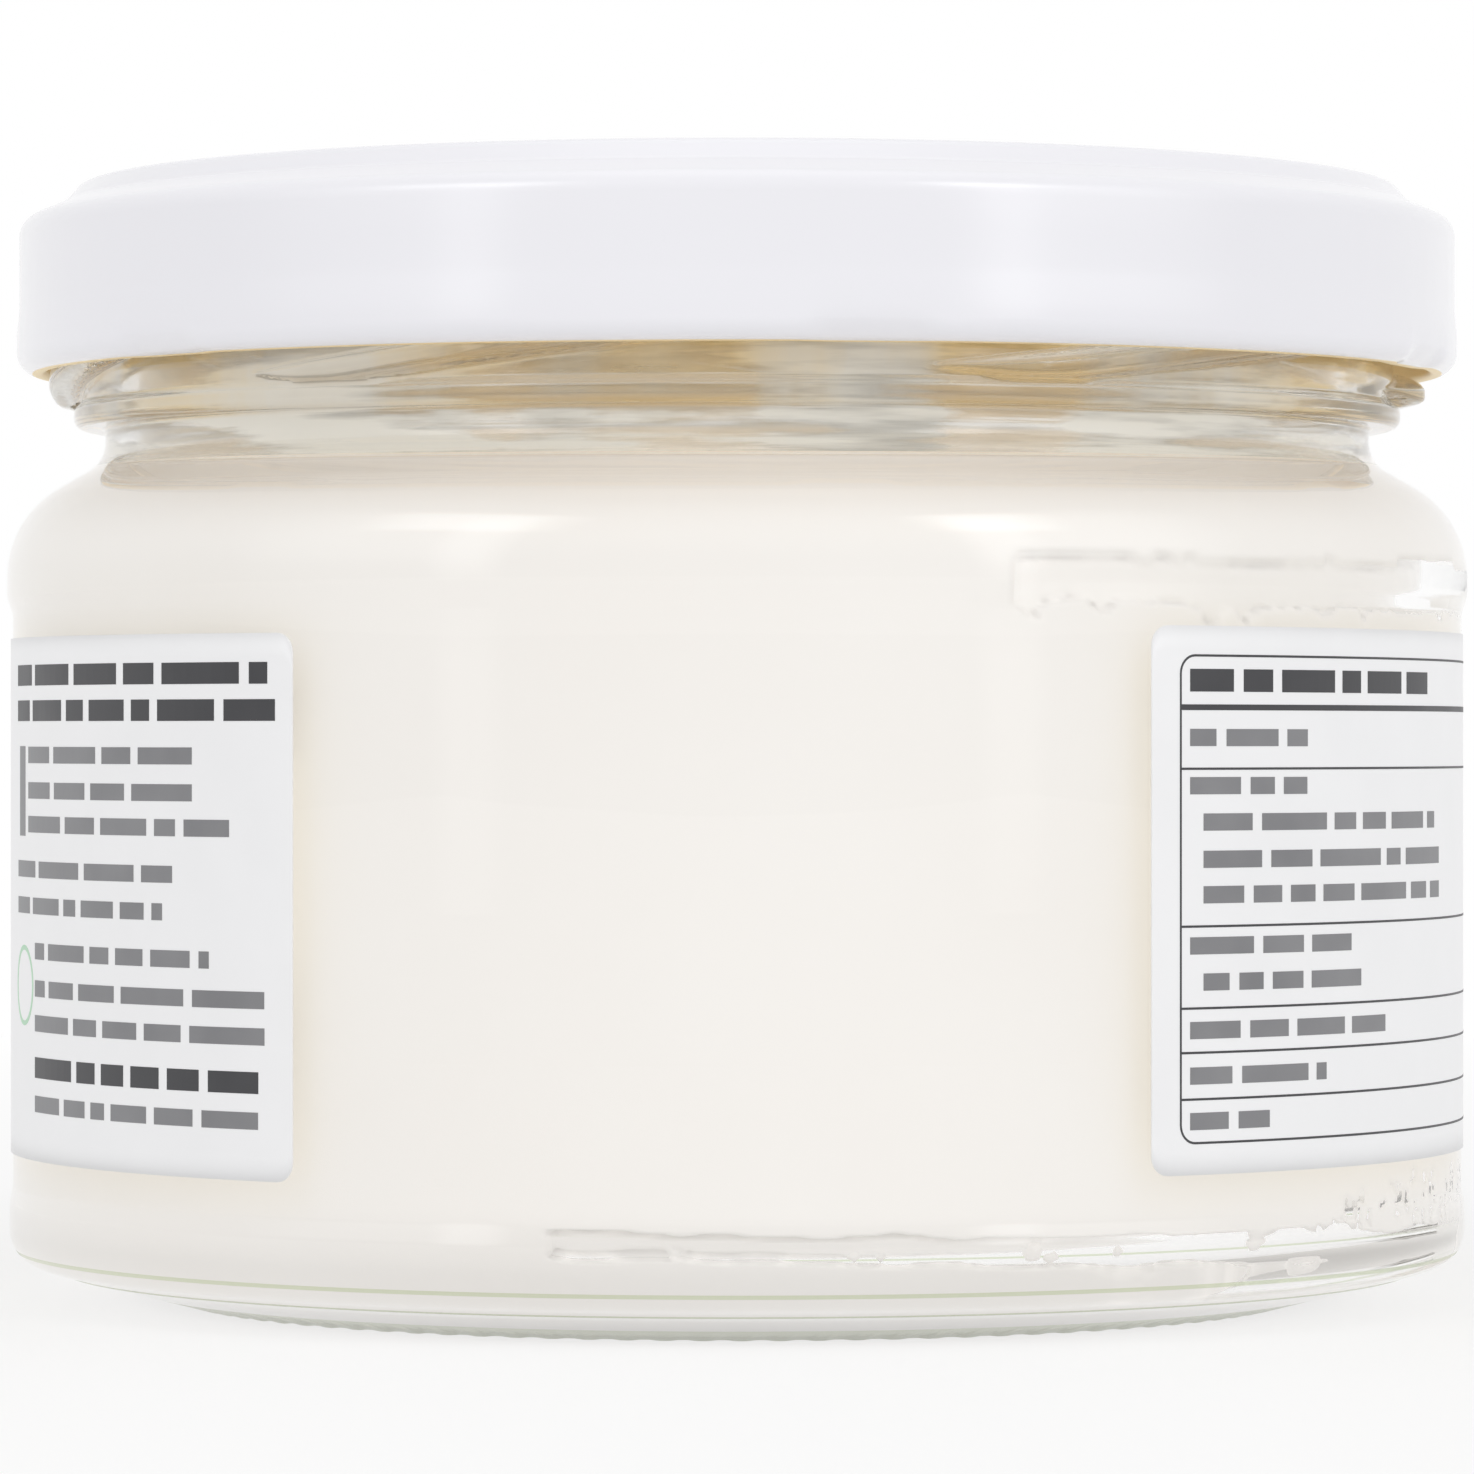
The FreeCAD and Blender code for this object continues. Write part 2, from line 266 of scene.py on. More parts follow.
def makeGlass(name, tint, roughness=0.0, smearedWithPaintedLight=False):
    # clear glass with slow mould waves
    look = glassLook
    material, tree = newMaterial(name)
    place = addNode(tree, "TexCoord")["Object"]
    wave = {"Vector": place, "Scale": look["waveScale"], "Detail": look["waveDetail"]}
    height = addNode(tree, "TexNoise", wave)["Fac"]
    relief = {"Strength": look["waveRelief"], "Distance": look["waveDepth"], "Height": height}
    surface = addNode(tree, "BsdfPrincipled", {
        "Base Color": (*tint, 1.0), "Roughness": roughness, "IOR": look["ior"], "Transmission Weight": 1.0,
        "Normal": addNode(tree, "Bump", relief)["Normal"],
    })["BSDF"]
    # the oil film, with the gold lining and glints painted on it
    if smearedWithPaintedLight:
        surface = addFilmAndPaintedLight(tree, place, surface)
    letThrough(tree, surface, look["tint"])
    return material


def makePaper():
    material, tree = newMaterial("coatedPaper")
    shader = addNode(tree, "BsdfPrincipled", addGrain(tree, paperLook))
    letThrough(tree, shader["BSDF"], paperLook["passed"], paperLook["through"])
    return material


lacquer = makeFinish("whiteLacquer", lacquerLook)
goldLacquer = makeFinish("goldLacquer", goldLook)
compound = makeFinish("sealCompound", compoundLook)
setOil = makeFinish("setOil", oilLook)
# the oil's top, with a painted glow in place of light soaked in from the sides
oilTopPaintedGlow = makeFinish("oilTopPaintedGlow", oilTopPaintedGlowLook)
oilTopPaintedGlow.cycles.emission_sampling = "NONE"
paper = makePaper()
darkInk = makeFinish("darkInk", {**inkLook, "light": (0.05, 0.05, 0.055), "dark": (0.035, 0.035, 0.04)})
greyInk = makeFinish("greyInk", {**inkLook, "light": (0.25, 0.25, 0.26), "dark": (0.20, 0.20, 0.21)})
greenInk = makeFinish("greenInk", {**inkLook, "light": (0.50, 0.74, 0.55), "dark": (0.42, 0.68, 0.48)})
clearGlass = makeGlass("clearGlass", glassLook["tint"])
# glass with the oil film, on which the gold lining and glints are painted
smearedAndPaintedLightGlass = makeGlass("smearedAndPaintedLightGlass", glassLook["tint"], smearedWithPaintedLight=True)
footGlass = makeGlass("footGlass", glassLook["footTintAndPaintedShade"], glassLook["footRoughness"])
print("materials made")


def unitBetween(a, b):
    span = math.hypot(b[0] - a[0], b[1] - a[1])
    return (b[0] - a[0]) / span, (b[1] - a[1]) / span


def roundedLine(corners, stepAngle, longest):
    # points (r, z) along straight runs whose corners (r, z, radius) are rounded by arcs
    line = []
    for i, (r, z, radius) in enumerate(corners):
        if not radius or i in (0, len(corners) - 1):
            line.append((r, z))
            continue
        back = unitBetween((r, z), corners[i - 1])
        ahead = unitBetween((r, z), corners[i + 1])
        half = math.acos(max(-1.0, min(1.0, back[0] * ahead[0] + back[1] * ahead[1]))) / 2
        reach = radius / math.tan(half)
        inward = unitBetween((0, 0), (back[0] + ahead[0], back[1] + ahead[1]))
        centre = (r + inward[0] * radius / math.sin(half), z + inward[1] * radius / math.sin(half))
        start = math.atan2(z + back[1] * reach - centre[1], r + back[0] * reach - centre[0])
        end = math.atan2(z + ahead[1] * reach - centre[1], r + ahead[0] * reach - centre[0])
        turn = (end - start + math.pi) % (2 * math.pi) - math.pi
        count = max(2, math.ceil(abs(math.degrees(turn)) / stepAngle))
        for k in range(count + 1):
            angle = start + turn * k / count
            line.append((centre[0] + radius * math.cos(angle), centre[1] + radius * math.sin(angle)))
    filled = [line[0]]
    for point in line[1:]:
        last = filled[-1]
        span = math.hypot(point[0] - last[0], point[1] - last[1])
        if span < samePoint:
            continue
        steps = math.ceil(span / longest)
        for share in [k / steps for k in range(1, steps)]:
            filled.append((last[0] + (point[0] - last[0]) * share, last[1] + (point[1] - last[1]) * share))
        filled.append(point)
    return filled


def movedRight(corners, distance):
    # the same corners, moved to the right of their own run
    moved = []
    for i, (r, z, radius) in enumerate(corners):
        before = unitBetween(corners[i - 1], (r, z)) if i else unitBetween((r, z), corners[1])
        after = unitBetween((r, z), corners[i + 1]) if i + 1 < len(corners) else before
        turn = before[0] * after[1] - before[1] * after[0]
        share = distance / (1 + before[0] * after[0] + before[1] * after[1])
        grown = max(radius + math.copysign(distance, turn), 0) if radius else 0
        moved.append((r + (before[1] + after[1]) * share, z - (before[0] + after[0]) * share, grown))
    return moved


def finishMesh(name, verts, faces, materials, faceSlots=None, weld=False, smoothShaded=True):
    mesh = bpy.data.meshes.new(name)
    mesh.from_pydata(verts, [], faces)
    for material in materials:
        mesh.materials.append(material)
    if faceSlots:
        mesh.polygons.foreach_set("material_index", faceSlots)
    work = bmesh.new()
    work.from_mesh(mesh)
    if weld:
        bmesh.ops.remove_doubles(work, verts=work.verts, dist=weldReach)
    bmesh.ops.recalc_face_normals(work, faces=work.faces)
    if work.calc_volume(signed=True) < 0:
        bmesh.ops.reverse_faces(work, faces=work.faces)
    work.to_mesh(mesh)
    work.free()
    mesh.polygons.foreach_set("use_smooth", [smoothShaded] * len(mesh.polygons))
    piece = bpy.data.objects.new(name, mesh)
    bpy.context.scene.collection.objects.link(piece)
    return piece


def spinPiece(name, line, segments, materials, shape=None, slotOf=None, closed=False):
    # turns points (r, z) in mm about the axis; shape moves a point, given its angle from the front
    verts, rings, faces, slots = [], [], [], []
    for i, (r, z) in enumerate(line):
        if r < onAxis:
            rings.append([len(verts)] * segments)
            verts.append((0.0, 0.0, z * mm))
            continue
        rings.append(list(range(len(verts), len(verts) + segments)))
        for k in range(segments):
            angle = 360.0 * k / segments
            pr, pz = shape(angle, r, z, i) if shape else (r, z)
            around = math.radians(angle - 90)
            verts.append((pr * math.cos(around) * mm, pr * math.sin(around) * mm, pz * mm))
    pairs = list(zip(rings, rings[1:]))
    if closed:
        pairs.append((rings[-1], rings[0]))
    for i, (low, high) in enumerate(pairs):
        for k in range(segments):
            n = (k + 1) % segments
            corners = [low[k], low[n], high[n], high[k]]
            face = [v for j, v in enumerate(corners) if v not in corners[:j]]
            if len(face) > 2:
                faces.append(face)
                slots.append(slotOf(i) if slotOf else 0)
    return finishMesh(name, verts, faces, materials, slots)


def smooth(value):
    value = max(0.0, min(1.0, value))
    return value * value * (3 - 2 * value)


jarSizes = {
    "segments": 384, "arcStep": 8.0, "longest": 3.0,
    "wall": 2.3,
    "panelStep": 0.35,       # shoulder band over the panel
    "heelStep": 0.2,
    "panelBottom": 6.9, "heelBandDrop": 1.0, "heelRound": 2.2, "heelSlope": 14.4,
    "bearingInset": 10.4, "bearingWidth": 2.0, "bearingRound": 0.5,
    "pushUp": 1.5, "pushUpBlend": 2.5,
    "floorEdge": 3.4, "floorCentre": 4.6, "floorRound": 4.2,
    "bodyHeight": 46.3, "shoulderBand": 4.7, "bandStep": 1.0, "bandBlend": 1.5,
    "shoulderSlope": 30.0, "shoulderRound": 6.0, "shoulderLift": 0.6,
    "neckInset": 5.8, "neckRise": 5.3, "neckRound": 2.0,
    "beadReach": 1.85, "beadHeight": 1.1, "beadRounds": (0.25, 0.55, 0.3), "grooveRound": 0.6,
    "finishReach": 1.45, "finishWall": 3.4, "rimRound": 1.2,
    "fillDip": 0.85,         # how far the oil's edge has sunk at the wall
    "filmGap": 0.1,          # from there up to the film
    "seams": (1.85, 3.1),    # heights of the mould lines under the heel
    "seamWidth": 0.16, "seamProud": 0.06, "seamRoom": 1.2, "seamSpan": 3,
    "knurls": 96, "knurlDepth": 0.06, "knurlGap": 0.49,
    "footRise": 0.6, "footReach": 1.0,        # how far the foot's tinted glass goes
    "wallRow": 0.13, "wallSlack": 0.3, "wallRun": 1.2, "footSlack": 0.02,
}

threadSizes = {
    "count": 6, "firstAngle": 16.0, "sweep": 64.0, "lead": 28.5, "noseRise": 1.0,
    "width": 1.7, "depth": 1.85, "noseSweep": 12.5, "tailSweep": 5.0,
    "faintest": 0.02, "fullness": 1.15, "domePower": 4, "domeRound": 0.6,
}

shoulderRadius = (jarHigh.x - jarLow.x) / 2 / mm
rimHeight = jarHigh.z / mm
panelRadius = shoulderRadius - jarSizes["panelStep"]
neckRadius = shoulderRadius - jarSizes["neckInset"]
finishRadius = neckRadius + jarSizes["finishReach"]
boreRadius = finishRadius - jarSizes["finishWall"]
innerRadius = panelRadius - jarSizes["wall"]
beadBottom = jarSizes["bodyHeight"] + jarSizes["neckRise"]
beadTop = beadBottom + jarSizes["beadHeight"]
groove = jarSizes["beadReach"] - jarSizes["finishReach"]
bearingRadius = panelRadius + jarSizes["heelStep"] - jarSizes["bearingInset"]
fillHeight = oilHigh.z / mm - jarSizes["fillDip"]


def shoulderAt(radius, inset):
    slope = math.radians(jarSizes["shoulderSlope"])
    return jarSizes["bodyHeight"] + (shoulderRadius - radius) * math.tan(slope) - inset / math.cos(slope)


def jarOutside():
    s = jarSizes
    heel = panelRadius + s["heelStep"]
    bearingInner = bearingRadius - s["bearingWidth"]
    panelTop = s["bodyHeight"] - s["shoulderBand"] - s["bandStep"]
    bead = neckRadius + s["beadReach"]
    rootRound, lowRound, highRound = [s["beadHeight"] * share for share in s["beadRounds"]]
    return [
        (0, s["pushUp"], 0),
        (bearingInner - s["pushUpBlend"], s["pushUp"], s["pushUpBlend"]),
        (bearingInner, 0, s["bearingRound"]),
        (bearingRadius, 0, s["bearingRound"]),
        (heel, s["bearingInset"] * math.tan(math.radians(s["heelSlope"])), s["heelRound"]),
        (heel, s["panelBottom"] - s["heelBandDrop"], s["bandBlend"]),
        (panelRadius, s["panelBottom"], s["bandBlend"]),
        (panelRadius, panelTop, s["bandBlend"]),
        (shoulderRadius, panelTop + s["bandStep"], s["bandBlend"]),
        (shoulderRadius, s["bodyHeight"], s["shoulderRound"]),
        (neckRadius, shoulderAt(neckRadius, 0), s["neckRound"]),
        (neckRadius, beadBottom, rootRound),
        (bead, beadBottom, lowRound),
        (bead, beadTop, highRound),
        (finishRadius, beadTop + groove, groove * s["grooveRound"]),
    ]


def jarInside(inset=0.0):
    # inset moves the inner face out into the glass
    s = jarSizes
    inner = innerRadius + inset
    lift = inset * s["shoulderLift"]
    return [
        (boreRadius + inset, rimHeight, s["rimRound"]),
        (boreRadius + inset, shoulderAt(boreRadius, s["wall"]) + lift, s["neckRound"] + s["wall"]),
        (inner, shoulderAt(innerRadius, s["wall"]) + lift, s["shoulderRound"] - s["wall"]),
        (inner, s["floorEdge"] - inset, s["floorRound"]),
        (0, s["floorCentre"] - inset, 0),
    ]


def threadSwell(along):
    t = threadSizes
    nose = math.sin(math.radians(90 * min(1.0, max(0.0, along) / t["noseSweep"])))
    tail = math.sin(math.radians(90 * min(1.0, max(0.0, t["sweep"] - along) / t["tailSweep"])))
    return nose * tail


def threadReach(angle, z):
    # how far the threads stand out of the finish wall at an angle and height
    t = threadSizes
    reach = 0.0
    for k in range(t["count"]):
        along = (angle - t["firstAngle"] - k * 360.0 / t["count"]) % 360.0
        if along >= t["sweep"]:
            continue
        swell = threadSwell(along)
        if swell < t["faintest"]:
            continue
        top = beadTop + t["noseRise"] + t["lead"] * along / 360.0
        half = t["width"] * swell / 2
        across = (z - (top - half)) / half
        if abs(across) < 1:
            dome = (1 - across ** t["domePower"]) ** t["domeRound"]
            reach = max(reach, t["depth"] * min(1.0, swell * t["fullness"]) * dome)
    return reach


def addSeams(line):
    # fine raised lines round the heel, where the mould parts met
    s = jarSizes
    width = s["seamWidth"]
    seamed = []
    for i, (r, z) in enumerate(line):
        seamed.append((r, z))
        if i + 1 == len(line) or r < bearingRadius:
            continue
        nextR, nextZ = line[i + 1]
        span = math.hypot(nextR - r, nextZ - z)
        for height in s["seams"]:
            if z < height <= nextZ and span > s["seamSpan"] * width:
                room = s["seamRoom"] * width / span
                share = min(max((height - z) / (nextZ - z), room), 1 - room)
                way = unitBetween((r, z), (nextR, nextZ))
                for step, out in ((-width, 0), (0, s["seamProud"]), (width, 0)):
                    along = share * span + step
                    seamed.append((r + way[0] * along + way[1] * out, z + way[1] * along - way[0] * out))
    return seamed


def buildJar():
    s, t = jarSizes, threadSizes
    outside = addSeams(roundedLine(jarOutside(), s["arcStep"], s["longest"]))
    wallLow = outside[-1][1]
    threadTop = beadTop + t["noseRise"] + t["lead"] * t["sweep"] / 360.0 + s["wallSlack"]
    rows = math.ceil((threadTop - wallLow) / s["wallRow"])
    wallLine = [(finishRadius, wallLow + (threadTop - wallLow) * k / rows) for k in range(1, rows + 1)]
    rimCorners = [(finishRadius, threadTop, 0), (finishRadius, rimHeight, s["rimRound"])]
    top = roundedLine(rimCorners + jarInside(), s["arcStep"], s["longest"])
    line = outside + wallLine + top[1:]
    rim = len(outside) + rows
    filmLow = fillHeight + s["filmGap"]

    def shape(angle, r, z, i):
        if r > finishRadius - s["wallSlack"] and wallLow - s["wallRun"] < z <= threadTop and i < rim:
            return max(r, min(r, finishRadius) + threadReach(angle, z)), z
        onFoot = bearingRadius - s["bearingWidth"] < r < bearingRadius + s["wallSlack"]
        if z < s["footSlack"] and onFoot:
            return r, s["knurlDepth"] * (angle * s["knurls"] / 360 % 1 > s["knurlGap"])
        return r, z

    def slotOf(i):
        if i > rim:
            # the bore above the oil takes the film, with its painted gold lining and glints
            return 1 if line[i][1] > filmLow else 0
        middle = (line[i][0] + line[i + 1][0]) / 2
        rise = (line[i][1] + line[i + 1][1]) / 2
        # the foot and the mould lines take the darker tint, partly painted shade
        foot = rise < s["footRise"] and middle > bearingRadius - s["bearingWidth"] - s["footReach"]
        seam = middle > bearingRadius and min(abs(rise - height) for height in s["seams"]) < s["seamWidth"]
        return 2 if foot or seam else 0

    jar = spinPiece("jarGlass", line, s["segments"], [clearGlass, smearedAndPaintedLightGlass, footGlass], shape, slotOf)
    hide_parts("jar_glass")
    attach(jar, "root")


buildJar()
print("jar turned")


oilSizes = {
    "segments": 720, "arcStep": 5.0, "longest": 2.2,
    "grip": 0.15,            # how far the oil reaches into the wall, so that no gap shows
    "fine": [(2.6, 11.6, 0.32), (38.2, 44.6, 0.3)],          # heights with finer rows, for the air
    "topDip": 0.35, "topRings": 8, "topPower": 6,
    "flatFloor": 4.0,        # this far inside the bore no air is looked for
}

airSizes = {                 # where the oil has drawn off the glass: bearings in degrees, the rest in mm
    "depth": 0.12,
    "trench": 0.25,          # extra depth along the edge
    "trenchWidth": 3.0,
    "degree": 0.7,           # the wall's run in each degree
}

stripSizes = {               # long strip round the floor's edge
    "low": 2.8, "high": 7.0, "start": -14.5, "end": 82.0, "edge": 0.12,
    "middle": 5.75, "fall": 0.016, "fallFrom": -14.0, "middleWaves": [(0.15, 0.12, 3.7)],
    "half": 0.75, "halfWaves": [(0.25, 0.2, 6.6)],
    "spots": [               # where oil touches the glass inside it: bearing, height, size
        (-4.6, 5.0, 0.42), (8.9, 4.95, 0.3), (11.0, 4.9, 0.26), (23.2, 5.1, 0.5), (24.9, 4.7, 0.38),
        (30.6, 5.0, 0.26), (44.2, 5.3, 0.62),
    ],
    "spotDegree": 0.71, "spotEdge": 0.25, "spotDepth": 0.25,
}

patchSizes = {               # high on the right, under the shoulder
    "low": 38.0, "start": 21.0, "end": 118.0, "edge": 0.1,
    "top": 43.3, "topWaves": [(0.45, 0.09, 12.3), (0.12, 0.6, 5.1)],
    "bottom": 41.0, "bottomWaves": [(0.9, 0.1, 7.7), (0.25, 0.7, 2.2)],
    "drip": 6.0, "dripWaves": [(1.0, 0.32, 8.8)],
}

streakSizes = {              # streaks low on the right
    "low": 4.5, "high": 12.0, "start": 42.0, "fadeIn": 18.0, "end": 105.0, "fadeOut": 15.0,
    "top": 10.5, "topFade": 3.0, "edge": 0.1, "share": 0.5, "least": 1.15,
    "grains": [(1.0, 1.3, 0.45, 21.4), (0.5, 3.1, 1.2, 4.4)],
}


def ripple(front, waves, z=0.0):
    # sum of waves round the jar: size, rate along, rate up where it changes with height, and seed
    total = 0.0
    for size, along, *up, seed in waves:
        total += size * noise.noise(Vector((front * along, z * up[0] if up else 0.0, seed)))
    return total


def airDepth(inside, edge):
    # depth of the air, from a signed distance to its outline in mm
    full = smooth(inside / edge)
    rim = full * smooth((airSizes["trenchWidth"] * edge - inside) / edge)
    return (airSizes["depth"] + oilSizes["grip"]) * full + airSizes["trench"] * rim


def oilAir(angle, z):
    # how far the oil stands back from its full reach, in mm
    front = (angle + 180.0) % 360.0 - 180.0
    depth = 0.0
    s = stripSizes
    if s["low"] < z < s["high"]:
        middle = s["middle"] - s["fall"] * (front - s["fallFrom"]) + ripple(front, s["middleWaves"])
        half = s["half"] + ripple(front, s["halfWaves"])
        along = min(front - s["start"], s["end"] - front) * airSizes["degree"]
        depth = max(depth, airDepth(min(along, half - abs(z - middle)), s["edge"]))
        for bearing, height, size in s["spots"]:
            gap = math.hypot((front - bearing) * s["spotDegree"], z - height) - size
            depth *= s["spotDepth"] + (1 - s["spotDepth"]) * smooth(gap / s["spotEdge"] + 0.5)
    s = patchSizes
    if z > s["low"]:
        top = s["top"] + ripple(front, s["topWaves"])
        drip = s["drip"] * max(0.0, ripple(front, s["dripWaves"])) ** 2
        bottom = s["bottom"] + ripple(front, s["bottomWaves"]) - drip
        along = min(front - s["start"], s["end"] - front) * airSizes["degree"]
        depth = max(depth, airDepth(min(top - z, z - bottom, along), s["edge"]))
    s = streakSizes
    if s["low"] < z < s["high"] and front > s["start"]:
        streak = ripple(front, s["grains"], z)
        reach = smooth((front - s["start"]) / s["fadeIn"]) * smooth((s["end"] - front) / s["fadeOut"])
        reach *= smooth((s["top"] - z) / s["topFade"])
        depth = max(depth, s["share"] * airDepth((streak + reach - s["least"]) * reach, s["edge"]))
    return depth


def inwardNormals(line):
    # unit normals of a section that runs down and in, pointing into the filling
    normals = []
    for i in range(len(line)):
        way = unitBetween(line[max(i - 1, 0)], line[min(i + 1, len(line) - 1)])
        normals.append((way[1], -way[0]))
    return normals


def refined(line):
    # adds points where the air needs them
    fine = [line[0]]
    for (r, z), (nextR, nextZ) in zip(line, line[1:]):
        span = math.hypot(nextR - r, nextZ - z)
        middle = (z + nextZ) / 2
        steps = [step for low, high, step in oilSizes["fine"] if low < middle < high and r > boreRadius]
        count = math.ceil(span / steps[0]) if steps else 1
        fine += [(r + (nextR - r) * k / count, z + (nextZ - z) * k / count) for k in range(1, count + 1)]
    return fine


def buildOil():
    s = oilSizes
    side = roundedLine(jarInside(s["grip"]), s["arcStep"], s["longest"])
    side = refined([point for point in side if point[1] <= fillHeight])
    cap = []
    for k in range(s["topRings"], 0, -1):
        share = 1 - k / s["topRings"]
        cap.append((side[0][0] * share, fillHeight - s["topDip"] * (1 - share ** s["topPower"])))
    line = cap + side
    normals = inwardNormals(line)

    def shape(angle, r, z, i):
        if i < len(cap) or r < boreRadius - s["flatFloor"]:
            return r, z
        depth = oilAir(angle, z)
        return r + normals[i][0] * depth, z + normals[i][1] * depth

    # the top cap takes the painted glow
    oil = spinPiece("coconutOil", line, s["segments"], [setOil, oilTopPaintedGlow], shape, lambda i: int(i < len(cap)))
    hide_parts("coconut_oil")
    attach(oil, "root")


buildOil()
print("oil filled")


lidSizes = {
    "segments": 540,
    "outerStep": (9.0, 2.0), "innerStep": (12.0, 2.5),       # degrees in an arc's step, longest step
    "sheet": 0.25,
    "ringOverhang": 0.2, "ringRound": 0.8,
    "panelStep": 0.8, "panelDrop": 0.8, "panelRound": 0.5,
    "ledgeStep": 0.95, "ledgeDrop": 1.15, "ledgeRound": 0.7,
    "cornerDrop": 2.25, "cornerRound": 1.3,
    "hemProud": 0.15, "hemWidth": 1.75, "hemHeight": 2.3, "hemRounds": (0.75, 0.23),
    "flare": 1.6, "flareRound": 6.0,
    "lacquerRise": 0.8,      # the white ends this far up inside the hem
}

lugSizes = {
    "firstAngle": 10.0, "halfSweep": 4.3, "blend": 1.6,
    "reach": 1.4, "middle": 0.65, "half": 1.1,               # how far the hem is pressed in, and where
    "dent": 0.45, "dentTop": 1.9, "dentFade": 1.6,           # the flat on its outside
    "above": 0.2, "behind": 0.5,
}

hemRadius = (lidHigh.x - lidLow.x) / 2 / mm
lidTop = lidHigh.z / mm
hemBottom = lidLow.z / mm
hemTop = hemBottom + lidSizes["hemHeight"]


def lidOutside():
    s = lidSizes
    ringInner = boreRadius - s["ringOverhang"]
    skirt = hemRadius - s["hemProud"]
    hemInner = hemRadius - s["hemWidth"]
    outerRound, innerRound = [s["hemWidth"] * share for share in s["hemRounds"]]
    return [
        (0, lidTop - s["panelDrop"], 0),
        (ringInner - s["panelStep"], lidTop - s["panelDrop"], s["panelRound"]),
        (ringInner, lidTop, s["panelRound"]),
        (finishRadius, lidTop, s["ringRound"]),
        (finishRadius + s["ledgeStep"], lidTop - s["ledgeDrop"], s["ledgeRound"]),
        (skirt, lidTop - s["cornerDrop"], s["cornerRound"]),
        (skirt, hemTop + s["flare"], s["flareRound"]),
        (hemRadius, hemTop, 0),
        (hemRadius, hemBottom, outerRound),
        (hemInner, hemBottom, innerRound),
        (hemInner, hemTop, innerRound),
        (hemRadius - 2 * s["sheet"], hemTop, 0),
    ]


def lugShare(angle):
    pitch = 360.0 / threadSizes["count"]
    away = abs((angle - lugSizes["firstAngle"] + pitch / 2) % pitch - pitch / 2)
    return 1 - smooth((away - lugSizes["halfSweep"] + lugSizes["blend"]) / (2 * lugSizes["blend"]))


def buildLid():
    s, lug = lidSizes, lugSizes
    corners = lidOutside()
    outside = roundedLine(corners, *s["outerStep"])
    inside = roundedLine(movedRight(corners, s["sheet"])[::-1], *s["innerStep"])
    turnRadius = hemRadius - s["hemWidth"] / 2
    lacquerEnd = hemBottom + s["lacquerRise"]
    lacquered = next(i for i, (r, z) in enumerate(outside) if z < lacquerEnd and r < turnRadius)

    def shape(angle, r, z, i):
        if z > hemTop + lug["above"] or r < hemRadius - s["hemWidth"] - lug["behind"]:
            return r, z
        share = lugShare(angle)
        if r > turnRadius:
            return r - lug["dent"] * share * smooth((hemBottom + lug["dentTop"] - z) / lug["dentFade"]), z
        pressed = 1 - smooth(abs(z - hemBottom - lug["middle"]) / lug["half"])
        return r - lug["reach"] * share * pressed, z

    lid = spinPiece("twistLid", outside + inside, s["segments"], [lacquer, goldLacquer], shape,
                    lambda i: int(i >= lacquered))
    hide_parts("lid")
    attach(lid, "root")


buildLid()
print("lid pressed")


linerSizes = {
    "segments": 192, "arcStep": 15.0, "longest": 0.8,
    "inset": 0.4, "outset": 0.25, "taper": 0.5, "seat": 0.05, "bite": 0.35, "bulge": 0.25,
}


def buildLiner():
    s = linerSizes
    inner = boreRadius - s["inset"]
    outer = finishRadius - s["outset"]
    top = lidTop - lidSizes["sheet"] - s["seat"]
    line = roundedLine([
        (inner + s["taper"], top, 0),
        (inner, rimHeight - s["bite"], s["bulge"]),
        (outer, rimHeight - s["bite"], s["bulge"]),
        (outer, top, 0),
    ], s["arcStep"], s["longest"])
    liner = spinPiece("sealRing", line, s["segments"], [compound], closed=True)
    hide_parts("lid_liner")
    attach(liner, "root")


buildLiner()
print("seal cast")


labelSizes = {
    "startAngle": 31.8, "endAngle": 325.5,    # the two ends, counted from the front
    "corner": 1.1, "cornerSteps": 6, "skew": 0.4, "lift": 0.01,
    "columns": 360, "rows": 24,
}

labelRadius = (labelHigh.x - labelLow.x) / 2 / mm
labelBottom = labelLow.z / mm
labelTop = labelHigh.z / mm
labelLength = math.radians(labelSizes["endAngle"] - labelSizes["startAngle"]) * labelRadius


def skewAt(along):
    return labelSizes["skew"] * (0.5 - along / labelLength)


def onLabel(along, up, out=0.0):
    # point on the wrapped label: along it from its right-hand end, and up from its lower edge
    angle = math.radians(labelSizes["startAngle"] - 90) + along / labelRadius
    radius = labelRadius + out
    height = labelBottom + up + skewAt(along)
    return radius * math.cos(angle) * mm, radius * math.sin(angle) * mm, height * mm


